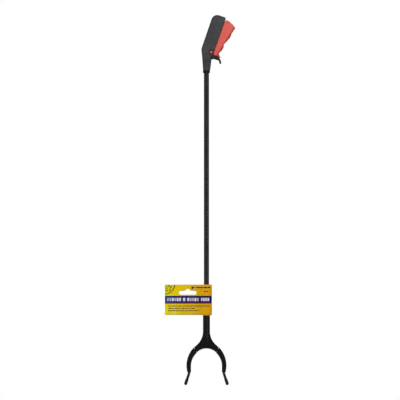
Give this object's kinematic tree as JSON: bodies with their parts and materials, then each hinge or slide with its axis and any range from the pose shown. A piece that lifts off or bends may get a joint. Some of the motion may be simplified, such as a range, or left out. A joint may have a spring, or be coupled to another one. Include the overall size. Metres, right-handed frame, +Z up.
{
  "type": "reacher grabber",
  "caption": "Long-handled pick-up reacher: a pistol grip with squeeze trigger and lock lever drives two curved jaws through a rod in a straight tube; a folded header card hangs round the tube.",
  "frame": {"origin": "on the tube's axis, level with the lowest point of the open jaw tips", "axes": "+Z up the tube towards the grip, +X towards the trigger's side, +Y towards the rear shell"},
  "size_m": [0.1734, 0.028, 0.9146],
  "materials": {
    "housing_plastic": "fine moulded grain",
    "trigger_plastic": "satin moulded",
    "lever_plastic": "satin moulded",
    "yoke_plastic": "satin moulded",
    "inner_plastic": "natural nylon",
    "tip_rubber": "moulded ridges",
    "tube_coating": "black powder coat",
    "rod_steel": "drawn",
    "screw_steel": "zinc plated",
    "card_board": "printed, satin varnish"
  },
  "bodies": {
    "root": {"grip_shell_front": "housing_plastic", "grip_shell_rear": "housing_plastic", "shell_screws": "screw_steel", "neck_ring": "lever_plastic", "lock_pivot_pin": "screw_steel", "tube": "tube_coating", "tube_top_bush": "inner_plastic", "rod_guide_upper": "inner_plastic", "rod_guide_middle": "inner_plastic", "rod_guide_lower": "inner_plastic", "tube_end_bush": "inner_plastic", "jaw_pivot_pin_left": "screw_steel", "jaw_pivot_pin_right": "screw_steel", "yoke_front": "yoke_plastic", "yoke_rear": "yoke_plastic", "yoke_screws": "screw_steel", "header_card": "card_board"},
    "trigger": {"trigger": "trigger_plastic"},
    "lock_lever": {"lock_lever": "lever_plastic"},
    "push_rod": {"push_rod": "rod_steel", "rod_end_fork": "inner_plastic", "rod_end_pin": "screw_steel", "spring_collar": "screw_steel", "return_spring": "rod_steel", "crosshead": "rod_steel", "rod_nut": "screw_steel", "crosshead_pin_left": "screw_steel", "crosshead_pin_right": "screw_steel"},
    "jaw_left": {"jaw_arm_left": "yoke_plastic", "jaw_tip_left": "tip_rubber"},
    "jaw_right": {"jaw_arm_right": "yoke_plastic", "jaw_tip_right": "tip_rubber"}
  },
  "joints": [
    {"name": "trigger_squeeze", "type": "hinge", "parent": "root", "child": "trigger", "pos_m": [0.012, 0, 0.823], "axis": [0, -1, 0], "range_deg": [0, 16], "stiffness_Nm_per_rad": 0.35, "springref_deg": -8.59},
    {"name": "lock_lever_pivot", "type": "hinge", "parent": "root", "child": "lock_lever", "pos_m": [0.0165, 0, 0.8105], "axis": [0, 1, 0], "range_deg": [0, 20]},
    {"name": "rod_slide", "type": "slide", "parent": "root", "child": "push_rod", "axis": [0, 0, -1], "range_m": [0, 0.0034], "deforming": ["return_spring"]},
    {"name": "jaw_left_pivot", "type": "hinge", "parent": "root", "child": "jaw_left", "pos_m": [-0.0085, 0, 0.098], "axis": [0, -1, 0], "range_deg": [0, 26.7]},
    {"name": "jaw_right_pivot", "type": "hinge", "parent": "root", "child": "jaw_right", "pos_m": [0.0085, 0, 0.098], "axis": [0, 1, 0], "range_deg": [0, 26.7]}
  ],
  "couplings": [
    {"joint": "rod_slide", "follows": "trigger_squeeze", "m_per_rad": 0.012079},
    {"joint": "jaw_left_pivot", "follows": "trigger_squeeze", "ratio": 1.6625},
    {"joint": "jaw_right_pivot", "follows": "trigger_squeeze", "ratio": 1.6625}
  ]
}
